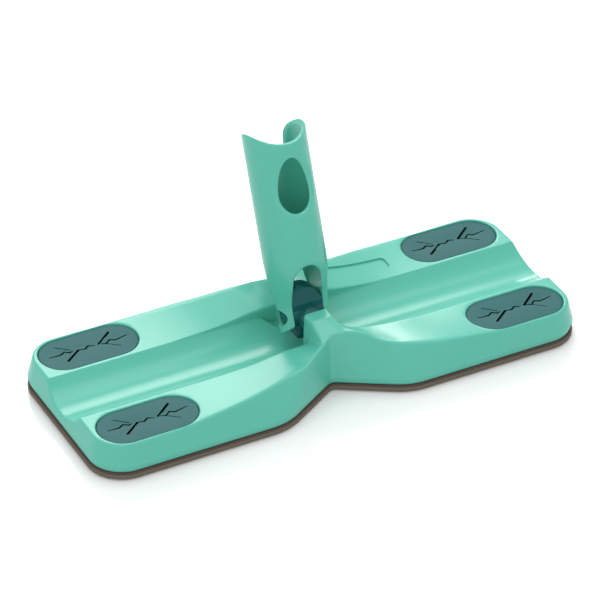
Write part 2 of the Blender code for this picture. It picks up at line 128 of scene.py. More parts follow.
def shade(obj):
    """Smooth shading, broken at crisp edges."""
    bm = bmesh.new()
    bm.from_mesh(obj.data)
    for face in bm.faces:
        face.smooth = True
    for edge in bm.edges:
        edge.smooth = len(edge.link_faces) != 2 or edge.calc_face_angle(0) < CRISP_ANGLE
    bm.to_mesh(obj.data)
    bm.free()


def fit_piece(obj, body, slot, *stands_for):
    """Finish a piece: its shading, its body and the solids it stands for. The slot is not used."""
    shade(obj)
    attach(obj, body)
    if stands_for:
        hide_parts(*stands_for)
    print(obj.name, len(obj.data.polygons), "faces")


# %% [markdown]
# Most shapes here are lofts: a row of closed rings, each with the same number of points, joined by
# faces and capped at both ends. A profile is the plainest of them, one outline at two places.

# %% Lofts, arcs and outlines
def loft(rings):
    bm = bmesh.new()
    rows = [[bm.verts.new(point) for point in ring] for ring in rings]
    count = len(rows[0])
    for low, high in zip(rows, rows[1:]):
        for i in range(count):
            j = (i + 1) % count
            bm.faces.new((low[i], low[j], high[j], high[i]))
    bm.faces.new(rows[0])
    bm.faces.new(reversed(rows[-1]))
    return bm


def profile_x(name, outline, half):
    """Solid from an outline of (y, z) points, as far to the left as to the right."""
    return mesh_object(name, loft([[(x, y, z) for y, z in outline] for x in (-half, half)]))


def profile_y(name, outline, low, high):
    """Solid from an outline of (x, z) points, between two places along Y."""
    return mesh_object(name, loft([[(x, y, z) for x, z in outline] for y in (low, high)]))


def arc(cx, cy, radius, start, end, steps):
    """Points of an arc, angles in degrees."""
    turns = [math.radians(start + (end - start) * i / steps) for i in range(steps + 1)]
    return [(cx + radius * math.cos(a), cy + radius * math.sin(a)) for a in turns]


def rod_y(name, radius, reach, steps=32):
    """Round rod on the swing axis, reaching as far to the front as to the rear."""
    ring = arc(PIVOT.x, PIVOT.z, radius, 0, 360, steps)[:-1]
    return profile_y(name, ring, -reach, reach)


def stadium(cx, cy, length, width, steps=24):
    """Outline of a rectangle whose short ends are half circles."""
    reach = (length - width) / 2
    return (arc(cx + reach, cy, width / 2, -90, 90, steps)
            + arc(cx - reach, cy, width / 2, 90, 270, steps))


def smooth_step(value, start, end):
    """Rises from 0 to 1 between two values, level at both."""
    t = min(max((value - start) / (end - start), 0.0), 1.0)
    return t * t * (3 - 2 * t)


def through(points, x):
    """Smooth curve through given (x, value) points, without overshoot."""
    if x <= points[0][0]:
        return points[0][1]
    if x >= points[-1][0]:
        return points[-1][1]
    slopes = [(b[1] - a[1]) / (b[0] - a[0]) for a, b in zip(points, points[1:])]
    lean = [slopes[0]]
    for a, b in zip(slopes, slopes[1:]):
        lean.append(0.0 if a * b <= 0 else 2 * a * b / (a + b))
    lean.append(slopes[-1])
    k = next(i for i in range(len(points) - 1) if x <= points[i + 1][0])
    (x0, y0), (x1, y1) = points[k], points[k + 1]
    span = x1 - x0
    t = (x - x0) / span
    return ((2 * t ** 3 - 3 * t ** 2 + 1) * y0 + (t ** 3 - 2 * t ** 2 + t) * span * lean[k]
            + (3 * t ** 2 - 2 * t ** 3) * y1 + (t ** 3 - t ** 2) * span * lean[k + 1])


def bend(a, corner, b, steps):
    """Curved corner: starts at a, leaves towards b, and is pulled by the corner."""
    out = []
    for i in range(steps + 1):
        t = i / steps
        out.append(tuple((1 - t) ** 2 * p + 2 * t * (1 - t) * q + t * t * r
                         for p, q, r in zip(a, corner, b)))
    return out


def mix(a, b, t):
    """The point a share t of the way from a to b."""
    return tuple(p + (q - p) * t for p, q in zip(a, b))


# %% [markdown]
# ## The plate's outline
# Seen from above the plate is a long rectangle with round corners and a V-shaped waist cut into
# both long edges. The V has a soft shoulder and a tight root. A function gives the edge's distance
# from the middle line, and can move it inwards, which the leaning walls need.

# %% Outline of the plate
HALF_LONG, HALF_DEEP = LONG / 2, DEEP / 2
CORNER = 18.0
WAIST_INSET, WAIST_HALF_WIDTH = 19.6, 32.9
SHOULDER_RADIUS, ROOT_RADIUS = 30.7, 3.7
WAIST_ANGLE = math.atan2(WAIST_INSET, WAIST_HALF_WIDTH)
SHOULDER_X = WAIST_HALF_WIDTH + SHOULDER_RADIUS * math.tan(WAIST_ANGLE / 2)
CORNER_X, CORNER_Y = HALF_LONG - CORNER, HALF_DEEP - CORNER


def edge_distance(x, inset=0.0):
    """Distance of the long edge from the middle line at x, moved in by the inset."""
    x = abs(x)
    edge = HALF_DEEP - inset
    root = ROOT_RADIUS + inset
    if x < root * math.sin(WAIST_ANGLE):
        middle = HALF_DEEP - WAIST_INSET + ROOT_RADIUS / math.cos(WAIST_ANGLE)
        return middle - math.sqrt(root ** 2 - x ** 2)
    shoulder = SHOULDER_RADIUS - inset
    if x < SHOULDER_X - shoulder * math.sin(WAIST_ANGLE):
        return (HALF_DEEP - WAIST_INSET - inset / math.cos(WAIST_ANGLE)
                + x * math.tan(WAIST_ANGLE))
    if x < SHOULDER_X:
        return edge - shoulder + math.sqrt(shoulder ** 2 - (SHOULDER_X - x) ** 2)
    return edge


def outline_point(station, inset):
    """Point on the front right or front left edge, moved in. A station is ('x', place) along the
    long edge or ('turn', degrees, side) round a corner."""
    if station[0] == 'x':
        return station[1], edge_distance(station[1], inset)
    turn, side = math.radians(station[1]), station[2]
    return (side * (CORNER_X + (CORNER - inset) * math.sin(turn)),
            CORNER_Y + (CORNER - inset) * math.cos(turn))


def along(start, end, step):
    """Even places from start up to, but without, the end."""
    count = max(1, round((end - start) / step))
    return [start + (end - start) * i / count for i in range(count)]


# Stations are close together round the lugs, where the shape changes fast, and far apart elsewhere.
BREAKS = (-CORNER_X, -75, -45, -26, -13, -5.7, -5.5, -5.2, -4.6, -3.6, 3.8, 5.2, 6.0, 6.25, 14,
          26, 45, 75, CORNER_X)
STEPS = (2.6, 2.2, 1.4, 1.0, 0.6, 0.2, 0.3, 0.6, 0.5, 0.7, 0.5, 0.4, 0.25, 0.6, 1.0, 1.4, 2.2, 2.6)
TURN_STEPS = 16
EDGE_STATIONS = [('x', x) for a, b, step in zip(BREAKS, BREAKS[1:], STEPS)
                 for x in along(a, b, step)]
TURNS = [90 * i / TURN_STEPS for i in range(TURN_STEPS + 1)]
STATIONS = ([('turn', a, -1) for a in reversed(TURNS)] + EDGE_STATIONS[1:]
            + [('turn', a, 1) for a in TURNS])
print(len(STATIONS), "stations along the plate")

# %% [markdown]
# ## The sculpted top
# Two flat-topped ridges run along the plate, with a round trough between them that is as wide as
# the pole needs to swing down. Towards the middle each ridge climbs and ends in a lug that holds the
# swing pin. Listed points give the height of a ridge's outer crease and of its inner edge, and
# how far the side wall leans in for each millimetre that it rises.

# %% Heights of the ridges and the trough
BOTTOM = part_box("head_shell")[0][2] / MM
RIDGE, LUG_TOP = 18.0, 33.8
TROUGH_EDGE, TROUGH_RADIUS, TROUGH_FLOOR = 17.6, 24.0, 10.4
LUG_LEFT, LUG_RIGHT, LUG_FACE = -5.5, 6.0, 10.5
CREASE_HEIGHT = ((-90, 18.0), (-82, 18.3), (-75, 18.8), (-68, 19.3), (-60, 19.9), (-52, 20.6),
                 (-45, 21.3), (-38, 22.1), (-32, 22.8), (-27, 23.4), (-23, 24.0), (-18, 24.7),
                 (-11, 27.3), (-5.3, 29.0), (1, 31.2), (3, 31.6), (6.7, 31.4), (11, 30.7),
                 (16.5, 28.8), (21.6, 26.2), (27, 24.8), (32, 23.4), (38, 22.2), (45, 21.3),
                 (52, 20.6), (60, 19.9), (68, 19.3), (75, 18.8), (82, 18.3), (90, 18.0))
SIDE_LEAN = ((18, 0.66), (23, 0.63), (27, 0.61), (32, 0.585), (38, 0.545), (45, 0.49), (52, 0.44),
             (60, 0.405), (68, 0.365), (75, 0.33), (82, 0.30), (100, 0.25))
WAIST_LEAN = ((-18, 0.153), (-11, 0.117), (-5, 0.09), (1, 0.08), (4, 0.12), (8, 0.2), (13, 0.28),
              (18, 0.35), (22, 0.39))
INNER_EDGE = ((-62, 18.0), (-43, 18.8), (-33, 19.7), (-28, 20.5), (-20, 21.4), (-10.3, 21.8),
              (-7, 22.2), (-5.8, 23.6), (-5.5, 32.2), (-5.0, 33.3), (-4.2, 33.75), (-3, LUG_TOP),
              (5.4, LUG_TOP), (6.2, 33.3), (8, 30.6), (10, 28.2), (13, 25.8), (16, 24.2), (21, 22.6),
              (28, 21.0), (36, 19.8), (43, 18.9), (52, 18.2), (62, 18.0))
END_LEAN, CREASE_RADIUS, INNER_RADIUS, CAP_RADIUS = 0.25, 1.2, 0.9, 0.7
# How softly the side wall turns into the waist, at the rim and from a height above it.
SOFT_LOW, SOFT_HIGH, SOFT_RISE = 4.8, 0.8, 11
RIM_CHAMFER = 0.06
WALL_STEPS, CREASE_STEPS, TOP_STEPS, TROUGH_STEPS = 7, 6, 9, 12


def trough(y):
    """Height of the trough, a round arc across the plate."""
    centre = TROUGH_FLOOR + TROUGH_RADIUS
    return centre - math.sqrt(TROUGH_RADIUS ** 2 - min(abs(y), TROUGH_EDGE) ** 2)


def soft_min(a, b, softness):
    """The smaller value, with a soft turn where the two are nearly equal."""
    near = max(softness - abs(a - b), 0.0) / softness
    return min(a, b) - near * near * softness / 4


def waist_line(x):
    """Distance of the V of the waist from the middle line, along the rim."""
    x = abs(x)
    if x < ROOT_RADIUS * math.sin(WAIST_ANGLE):
        return edge_distance(x)
    return HALF_DEEP - WAIST_INSET + x * math.tan(WAIST_ANGLE)


def wall_distance(x, z):
    """Distance of the side wall from the middle line at a height: the long side leans in more and
    more towards the waist, where a facet cuts it off."""
    rise = z - BOTTOM
    side = HALF_DEEP - through(SIDE_LEAN, abs(x)) * rise
    waist = waist_line(x) - through(WAIST_LEAN, x) * rise
    share = min(rise / SOFT_RISE, 1.0)
    return soft_min(side, waist, SOFT_LOW + (SOFT_HIGH - SOFT_LOW) * share)


def wall_heights(top):
    """Heights up a wall, from the chamfer to where the crease starts, and the crease's radius."""
    radius = min(CREASE_RADIUS, (top - BOTTOM) * 0.4)
    start = BOTTOM + RIM_CHAMFER
    return [start + (top - radius - start) * k / WALL_STEPS
            for k in range(WALL_STEPS + 1)], radius


def rounded_wall(foot, top, radius, lean):
    """From a leaning wall over the rounded crease onto the top."""
    corner = (foot[0] - lean * radius, top)
    end = (corner[0] - radius, top)
    return bend(foot, corner, end, CREASE_STEPS)


def long_wall(station):
    """(x, distance, height) up a wall, from the rim to the end of the rounded crease."""
    if station[0] == 'x':
        x = station[1]
        top = through(CREASE_HEIGHT, x)
        heights, radius = wall_heights(top)
        lean = (wall_distance(x, top - 2) - wall_distance(x, top)) / 2
        points = [(x, wall_distance(x, z), z) for z in heights]
        bent = rounded_wall(points[-1][1:], top, radius, lean)
        return ([(x, points[0][1] - RIM_CHAMFER, BOTTOM)] + points
                + [(x, *p) for p in bent[1:]])
    return [(*outline_point(station, inset), z) for inset, z in end_wall(RIDGE)]


def end_wall(top):
    """(inset, height) up an end wall."""
    heights, radius = wall_heights(top)
    points = [((z - BOTTOM) * END_LEAN, z) for z in heights]
    foot = (-points[-1][0], points[-1][1])
    bent = rounded_wall(foot, top, radius, END_LEAN)
    return [(RIM_CHAMFER, BOTTOM)] + points + [(-inset, z) for inset, z in bent[1:]]


def top_points(x, start, top):
    """(distance, height) across the top at x, from the crease to the middle line: the ridge's top,
    its inner edge, the cap of a lug where there is one, the face below it, and the trough."""
    inner = through(INNER_EDGE, x)
    on_lug = LUG_LEFT <= x <= LUG_RIGHT
    foot_y = LUG_FACE if on_lug else TROUGH_EDGE - 0.15 * (inner - RIDGE) - 0.25
    foot = (foot_y, trough(foot_y))
    edge = (TROUGH_EDGE, inner)
    cap = (LUG_FACE + 0.2, inner) if on_lug else mix(edge, foot, 0.35)
    points = [mix((start, top), edge, k / TOP_STEPS) for k in range(1, TOP_STEPS)]
    before_length, cap_length = math.dist(points[-1], edge), math.dist(edge, cap)
    before = mix(edge, points[-1], min(INNER_RADIUS / before_length, 0.9))
    after = mix(edge, cap, min(INNER_RADIUS / cap_length, 0.45))
    points += bend(before, edge, after, 4)
    near = mix(cap, edge, min(CAP_RADIUS / cap_length, 0.3))
    far = mix(cap, foot, min(CAP_RADIUS / math.dist(cap, foot), 0.3))
    points += bend(near, cap, far, 4)
    points += [mix(far, foot, k / 3) for k in range(1, 4)]
    for k in range(1, TROUGH_STEPS + 1):
        y = foot_y * (1 - k / TROUGH_STEPS)
        points.append((y, trough(y)))
    return points


def half_ring(station):
    """Wall and top of one half at a station, as (x, distance, height)."""
    wall = long_wall(station)
    x, y, z = wall[-1]
    return wall + [(x, across, height) for across, height in top_points(x, y, z)]


def make_head_surface():
    """Rings across the plate from end to end, two end walls made of columns, and a flat bottom."""
    bm = bmesh.new()
    walls = len(end_wall(RIDGE))
    rows = []
    for station in STATIONS:
        half = half_ring(station)
        front = [bm.verts.new((x, -y, z)) for x, y, z in half]
        rear = [bm.verts.new((x, y, z)) for x, y, z in half[:-1]]
        rows.append(front + rear[::-1])
    for low, high in zip(rows, rows[1:]):
        for i in range(len(low) - 1):
            bm.faces.new((low[i], low[i + 1], high[i + 1], high[i]))
    bottom = []
    for row, side in ((rows[0], -1), (rows[-1], 1)):
        tops = row[walls - 1:len(row) - walls + 1]
        columns = [row[:walls]]
        for vert in tops[1:-1]:
            points = end_wall(vert.co.z)
            vert.co.x = side * (HALF_LONG - points[-1][0])
            column = [bm.verts.new((side * (HALF_LONG - inset), vert.co.y, z))
                      for inset, z in points[:-1]]
            columns.append(column + [vert])
        columns.append(row[len(row) - walls:][::-1])
        for left, right in zip(columns, columns[1:]):
            for i in range(walls - 1):
                bm.faces.new((left[i], right[i], right[i + 1], left[i + 1]))
        bottom.append([column[0] for column in columns])
    front_edge = [row[0] for row in rows]
    rear_edge = [row[-1] for row in rows]
    loop = front_edge + bottom[1][1:-1] + rear_edge[::-1] + bottom[0][::-1][1:-1]
    bm.faces.new(loop)
    return mesh_object("head_top", bm)


head_top = make_head_surface()
print("head surface:", len(head_top.data.polygons), "faces")

# %% [markdown]
# ## Pockets, panel and ramps
# The grips lie in pockets with a softly rounded lip. The cutter for a pocket flares out where it
# leaves the surface, so the cut itself leaves that rounded lip. The rear ridge has a shallow blank
# panel whose floor follows the slope. Ramps beside the lugs make room for the swinging fork.

# %% Cut the pockets, the panel, the ramps and the pin bore
GRIPS = {node: [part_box(node)[i] / MM for i in (0, 1)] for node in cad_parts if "grip" in node}
GRIP_LONG, GRIP_DEEP = 50.4, 25.2
GRIP_SUNK = 0.6


def middle(low_high):
    """Middle of a box given by its two corners."""
    return (low_high[0] + low_high[1]) / 2


def ridge_height(x, y):
    """Height of a ridge between its crease and its inner edge."""
    crease = through(CREASE_HEIGHT, x)
    crease_y = wall_distance(x, crease) - CREASE_RADIUS
    share = (abs(y) - TROUGH_EDGE) / (crease_y - TROUGH_EDGE)
    inner = through(INNER_EDGE, x)
    return inner + (crease - inner) * share


# Height against the ridge's top, and how far the pocket is wider than the grip there.
POCKET_LEVELS = ((-2.4, 0.32), (-0.55, 0.32), (-0.34, 0.36), (-0.18, 0.46), (-0.07, 0.62),
                 (0.02, 0.9), (0.3, 1.7))


def pocket_tool(name, centre):
    """Cutter with a flared top that follows the ridge."""
    rings = []
    for level, grow in POCKET_LEVELS:
        ring = stadium(centre.x, centre.y, GRIP_LONG + 2 * grow, GRIP_DEEP + 2 * grow)
        rings.append([(x, y, ridge_height(x, y) + level) for x, y in ring])
    return mesh_object(name, loft(rings))


PANEL = dict(left=16.0, right=62.0, near=25.0, far=33.4, corner=2.2, depth=0.85)


def panel_tool():
    """Cutter for the panel: rings across it, drawn in at both ends for its round corners."""
    rings = []
    left, right, near, far, r, depth = PANEL.values()
    spots = [left + r * (1 - math.cos(math.radians(a))) for a in range(0, 90, 15)]
    spots += along(left + r, right - r, 1.5)
    spots += [right - r * (1 - math.cos(math.radians(a))) for a in range(90, -1, -15)]
    for x in spots:
        gap = min(x - left, right - x, r)
        pull = r - math.sqrt(max(r * r - (r - gap) ** 2, 0.0004))
        across = [near + pull + (far - near - 2 * pull) * k / 8 for k in range(9)]
        floor = [(x, y, ridge_height(x, y) - depth) for y in across]
        rings.append(floor + [(x, y, ridge_height(x, y) + 2) for y in reversed(across)])
    return mesh_object("panel_tool", loft(rings))


BORE_RADIUS, BORE_REACH = 2.8, 20.3
RAMPS = (((-22.6, 23.6), (-10.5, 14.3), (-7.6, 12.9), (-5.9, 12.9), (-5.9, 23.6)),
         ((22.6, 23.6), (10.6, 14.4), (10.6, 23.6)))
RAMP_NEAR, RAMP_FAR = 8.0, 17.3
tools = [pocket_tool(f"pocket_{node}", middle(corners)) for node, corners in GRIPS.items()]
tools.append(panel_tool())
tools.append(rod_y("bore_tool", BORE_RADIUS, BORE_REACH))
for ramp in RAMPS:
    for low, high in ((-RAMP_FAR, -RAMP_NEAR), (RAMP_NEAR, RAMP_FAR)):
        tools.append(profile_y("ramp", ramp, low, high))
cut(head_top, tools)
fit_piece(head_top, "head", "mint_shell", "head_shell")

# %% [markdown]
# ## Base plate and sole
# Below the shell lie a base plate whose edge is tucked in, a thin film whose dark reddish colour is
# partly painted shade under the shell's edge, and the foam sole.
# Each is a stack of outlines that grow and shrink a little from bottom to top.

# %% Layers under the shell
def plate_rings(levels):
    """Closed rings of the whole outline, each moved in by its own inset, at its own height."""
    rings = []
    for inset, z in levels:
        front = [outline_point(station, inset) for station in STATIONS]
        ring = [(x, -y, z) for x, y in front] + [(x, y, z) for x, y in reversed(front)]
        rings.append(ring)
    return rings


def layer(node, slot, levels):
    """A layer of the stack. Each level has an inset and a share of the node's height."""
    low, high = (corner[2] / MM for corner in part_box(node))
    rise = high - low
    piece = mesh_object(node.replace("_pad", "_foam") + "_layer",
                        loft(plate_rings([(inset, low + rise * share) for inset, share in levels])))
    fit_piece(piece, "head", slot, node)
    return piece


base = layer("base_plate", "mint_base", ((1.0, 0.0), (0.9, 0.1), (0.2, 1.0), (0.2, 1.095)))
film = layer("sole_backing", "sole_backing", ((0.3, 0.0), (0.25, 0.5), (0.35, 1.0)))
sole = layer("sole_pad", "sole_foam", ((0.35, 0.0), (0.08, 0.12), (0.0, 0.3), (0.0, 0.8),
                                       (0.15, 1.0)))

# %% [markdown]
# ## Cloth grips
# A grip is a rubber pad with a jagged star of slits: a finger pushes the cloth in and the flaps
# hold it. Thin jagged strokes run along the pad's middle, and two wide and two thin ones slant off
# them. The pad is a set of rings that close on the middle, so that its face can dish a little, and
# the strokes are then cut in. A stroke's points count from the pad's middle.

# %% Make the four grips
WIDE, THIN = 1.15, 0.9
STROKES = (
    (THIN, ((-20.5, 0.9), (-14.2, 0.8), (-11.6, 2.3), (-9.4, 0.6), (-7.6, 1.3))),
    (THIN, ((-14.6, 7.5), (-8.3, 2.2))),
    (WIDE, ((-13.4, -5.8), (-4.7, 0.9))),
    (THIN, ((-4.7, 0.9), (-1.8, 0.0), (0.6, 1.7), (3.6, 0.5))),
    (WIDE, ((5.4, 0.4), (14.2, 7.4))),
    (THIN, ((6.4, 0.6), (9.2, -0.6), (11.9, 1.6), (14.2, 0.2), (21.0, 1.1))),
    (THIN, ((9.2, -0.6), (14.8, -5.4))))
POINTED = 0.45                      # how much of its width a thin stroke keeps at its ends
SLIT_LEVELS = ((1.25, 0.75), (0.3, 0.95), (-0.7, 1.6))      # depth, and share of the width there


def grip_face(x, y, centre):
    """The rubber follows the ridge, and dishes slightly along the slits."""
    near = math.exp(-((y - 1.0) / 4.5) ** 2) * (1 - smooth_step(abs(x), 14, 23))
    return ridge_height(centre.x + x, centre.y + y) - GRIP_SUNK - 0.28 * near


def stroke_tool(name, centre, width, points, material):
    """A stroke of one width along a jagged line, as a cutter that is narrower below."""
    points = [Vector(p) for p in points]
    last = len(points) - 1
    sides = []
    for i, point in enumerate(points):
        ahead = points[min(i + 1, last)] - point
        behind = point - points[max(i - 1, 0)]
        direction = (ahead.normalized() + behind.normalized()).normalized()
        across = Vector((-direction.y, direction.x))
        taper = POINTED if i in (0, last) and width == THIN else 1.0
        sides.append((point, across * width / 2 * taper))
    rings = []
    for drop, grow in SLIT_LEVELS:
        left = [p + a * grow for p, a in sides]
        right = [p - a * grow for p, a in reversed(sides)]
        rings.append([(centre.x + p.x, centre.y + p.y, grip_face(p.x, p.y, centre) - drop)
                      for p in left + right])
    tool = mesh_object(name, loft(rings))
    tool.data.materials.append(material)
    return tool


# Inset from the outline, and drop below the face: the pad's foot, its rounded rim, then its face.
GRIP_RINGS = ((0.0, 1.6), (0.0, 0.35), (0.1, 0.12), (0.3, 0.02), (0.7, 0.0), (1.5, 0.0), (2.7, 0.0),
              (4.2, 0.0), (6.0, 0.0), (8.0, 0.0), (10.0, 0.0), (11.6, 0.0), (12.3, 0.0))


def make_grip(node, corners, rubber, dark):
    """One pad with its strokes cut in. The strokes' walls take the dark material."""
    centre = middle(corners)
    rings = []
    for inset, drop in GRIP_RINGS:
        ring = stadium(0, 0, GRIP_LONG - 2 * inset, GRIP_DEEP - 2 * inset, 20)
        rings.append([(centre.x + x, centre.y + y, grip_face(x, y, centre) - drop)
                      for x, y in ring])
    pad = mesh_object(node.replace("cloth_grip", "grip_pad"), loft(rings))
    pad.data.materials.append(rubber)
    cut(pad, [stroke_tool(f"stroke_{k}", centre, width, points, dark)
              for k, (width, points) in enumerate(STROKES)])
    fit_piece(pad, "head", "grip_rubber", node)


# %% [markdown]
# ## Joint
# The hub is the cross of the joint. A barrel lies on each axis, a domed fin with a scooped front
# stands above, and a leg with a flared foot hangs down towards the trough. Outlines count from the
# pivot.

# %% Make the hub
HUB_HALF, TILT_BARREL = 8.0, 6.4
SWING_BARREL, SWING_REACH = 5.9, 10.2
FIN_TOP = ((-8.0, 10.5), (-7.4, 13.4), (-6.3, 16.0), (-5.0, 17.2), (-3.6, 17.1), (-2.0, 15.9),
           (1.1, 14.9), (4.4, 12.8), (6.6, 10.4), (8.0, 7.6))
FIN_FRONT, FIN_REAR = -4.6, 4.4
SCOOP_Y, SCOOP_Z, SCOOP_RADIUS = -13.4, 14.6, 11.2
LEG_SIDE = [(4.6, 0.0), (3.5, -5.6), (3.2, -9.0), (3.5, -10.8), (5.2, -12.1)]
LEG_HALF, FOOT_RADIUS = 3.8, 13.2


def make_hub():
    """The cross, in one piece."""
    z0 = PIVOT.z
    hub = profile_x("joint_cross", arc(0, z0, TILT_BARREL, 0, 360, 48)[:-1], HUB_HALF)
    dome = [(x, z0 + through(FIN_TOP, x)) for x in along(-HUB_HALF, HUB_HALF, 0.5) + [HUB_HALF]]
    fin = profile_y("fin", [(-HUB_HALF, z0)] + dome + [(HUB_HALF, z0)], FIN_FRONT, FIN_REAR)
    swing = rod_y("swing_barrel", SWING_BARREL, SWING_REACH, 48)
    foot = [(FOOT_RADIUS * math.sin(math.radians(a)), -FOOT_RADIUS * math.cos(math.radians(a)))
            for a in (14, 7, 0, -7, -14)]
    around = LEG_SIDE + foot + [(-x, z) for x, z in reversed(LEG_SIDE)]
    leg = profile_y("leg", [(x, z0 + z) for x, z in around], -LEG_HALF, LEG_HALF)
    cut(hub, [fin, swing, leg], 'UNION')
    hollow = arc(SCOOP_Y, z0 + SCOOP_Z, SCOOP_RADIUS, 0, 360, 64)[:-1]
    scoop = profile_x("scoop", hollow, HUB_HALF + 1)
    bore = rod_y("hub_bore", BORE_RADIUS, 12)
    cut(hub, [scoop, bore])
    round_edges(hub, 0.45, 30)
    fit_piece(hub, "hub", "joint_plastic", "joint_hub")
    return hub


# %% [markdown]
# ## Pole socket
# The socket is a tube that turns into a fork below. Its wall is worked out flat, like a paper
# label: an outline with holes is filled with small triangles and then wrapped round the tube once
# for the outside and once for the inside. A point's distance from the nearest edge sets how far
# the outside sinks there, which gives every rim its rounding and the openings their dished edge.
# A place on the pattern is (u, s): u runs round the tube from the front, and s up it from the pivot.

# %% Flat pattern of the socket
TUBE, TUBE_WALL = 15.5, 2.5
ARM_WIDTH, ARM_DEPTH, ARM_INSIDE = 13.4, 7.2, 8.2
ARCH_TOP, SADDLE_LOW, SADDLE_ROUND = 25.2, 86.0, 23.0
SLOT_HALF, SLOT_LOW = 9.7, 72.0
HORN = 14.3                         # where the round corner of the rear cut-out meets the saddle
WINDOW_MIDDLE, WINDOW_HALF, WINDOW_UP, WINDOW_DOWN = 61.0, 8.8, 17.5, 9.8
ARCH_MIDDLE = ARCH_TOP - ARM_INSIDE
HALF_ROUND = math.pi * TUBE
EDGE_STEP, SEAM_STEP = 0.55, 1.2


def tube_half_sizes(s):
    """Half the width and half the depth of the outside at a place up the tube."""
    width = ARM_WIDTH + (TUBE - ARM_WIDTH) * smooth_step(s, 0, 30)
    depth = ARM_DEPTH + (TUBE - ARM_DEPTH) * smooth_step(s, 2, 24)
    return width, depth


def flat(x, s, rear=False):
    """Place on the flat pattern of a point of the tube seen from the front, or from the rear."""
    turn = math.asin(max(-1.0, min(1.0, x / tube_half_sizes(s)[0])))
    if rear:
        turn = math.copysign(math.pi, x) - turn
    return turn * TUBE, s


def spaced(points):
    """The same line with evenly spaced points."""
    out = [points[0]]
    for a, b in zip(points, points[1:]):
        count = max(1, math.ceil(math.dist(a, b) / EDGE_STEP))
        out += [mix(a, b, k / count) for k in range(1, count + 1)]
    return out


def arch_line():
    """Front arch from its left foot over the top to its right foot, as (x, s)."""
    feet = -ARM_DEPTH * math.sin(math.asin(ARM_INSIDE / ARM_WIDTH))
    side = [(-ARM_INSIDE, feet + (ARCH_MIDDLE - feet) * k / 14) for k in range(14)]
    top = arc(0, ARCH_MIDDLE, ARM_INSIDE, 180, 0, 36)
    return side + top + [(-x, s) for x, s in reversed(side)]


def arm_end(start, end):
    """Rounded end of an arm on the pattern, between two turns in degrees."""
    turns = [math.radians(start + (end - start) * k / 40) for k in range(41)]
    return [(turn * TUBE, -ARM_DEPTH * abs(math.sin(turn))) for turn in turns]


def saddle_height(x):
    """Height of the saddle-shaped top edge."""
    return SADDLE_LOW + SADDLE_ROUND - math.sqrt(SADDLE_ROUND ** 2 - x ** 2)


def mirrored(line):
    """The same line on the other side of the tube, run the other way."""
    return [(-u, s) for u, s in reversed(line)]


def socket_outline():
    """One closed line round the whole pattern: fork, seam, rear cut-out and saddle, seam."""
    arch = arch_line()
    arm_turn = math.degrees(math.asin(ARM_INSIDE / ARM_WIDTH))
    left_rear = [(-HALF_ROUND, ARCH_TOP)]
    left_rear += [flat(x, s, True) for x, s in reversed(arch[:len(arch) // 2])]
    fork = left_rear + arm_end(-180 + arm_turn, -arm_turn)[1:]
    fork += [flat(x, s) for x, s in arch[1:]]
    fork += arm_end(arm_turn, 180 - arm_turn)[1:]
    fork += mirrored(left_rear)[1:]
    seam = [(HALF_ROUND, s) for s in along(ARCH_TOP, SLOT_LOW, SEAM_STEP)[1:] + [SLOT_LOW]]
    slot = arc(0, SLOT_LOW + SLOT_HALF, SLOT_HALF, -90, 0, 24)
    slot += bend((SLOT_HALF, 82.2), (SLOT_HALF + 0.3, 88.4), (HORN, saddle_height(HORN)), 12)
    right_slot = [flat(x, s, True) for x, s in slot[1:]]
    turns = [math.radians(a) for a in range(140, -141, -2)]
    corner_turn = right_slot[-1][0] / TUBE
    saddle = [(turn * TUBE, saddle_height(TUBE * math.sin(turn))) for turn in turns
              if abs(turn) < corner_turn - 0.01]
    top = spaced([(HALF_ROUND, SLOT_LOW)] + right_slot + saddle + mirrored(right_slot)
                 + [(-HALF_ROUND, SLOT_LOW)])
    return spaced(fork) + seam + top[1:] + mirrored(seam[:-1])


def window_line():
    """The egg-shaped window, which reaches further up than down."""
    points = []
    for k in range(97):
        a = 2 * math.pi * k / 96
        reach = WINDOW_UP if math.sin(a) > 0 else WINDOW_DOWN
        points.append(flat(WINDOW_HALF * math.cos(a), WINDOW_MIDDLE + reach * math.sin(a)))
    return spaced(points)[:-1]


# %% [markdown]
# The pattern is filled with triangles. Rows of extra points follow each edge closely, so that the
# rounding there has enough facets, and a plain grid fills the rest.

# %% Fill the pattern and wrap it
EDGE_ROWS = (0.2, 0.42, 0.7, 1.1, 1.7)      # distances of the rows of points along each edge
GRID_STEP, GRID_CLEAR = 1.2, 2.0
LOWEST, HIGHEST = -9, 93                    # more than the pattern reaches


def inside(point, polygon):
    """Whether the point lies in the polygon."""
    x, y = point
    found = False
    for (x0, y0), (x1, y1) in zip(polygon, polygon[1:] + polygon[:1]):
        if (y0 > y) != (y1 > y) and x < (x1 - x0) * (y - y0) / (y1 - y0) + x0:
            found = not found
    return found


def distance_tree(points):
    """Search tree that finds the nearest of the points."""
    tree = KDTree(len(points))
    for k, (u, s) in enumerate(points):
        tree.insert((u, s, 0), k)
    tree.balance()
    return tree


def on_seam(point, nearness):
    return abs(abs(point[0]) - HALF_ROUND) < nearness


def in_pattern(point, outline, hole):
    return inside(point, outline) and not inside(point, hole)


def edge_rows(line):
    """Points in rows on both sides of a line, each with its row's distance."""
    rows = []
    for k, here in enumerate(line):
        before, after = line[k - 1], line[(k + 1) % len(line)]
        du, ds = after[0] - before[0], after[1] - before[1]
        length = math.hypot(du, ds)
        if on_seam(here, 1e-6) or length < 1e-9:
            continue
        for reach in EDGE_ROWS:
            for side in (-1, 1):
                rows.append(((here[0] - ds / length * reach * side,
                              here[1] + du / length * reach * side), reach))
    return rows


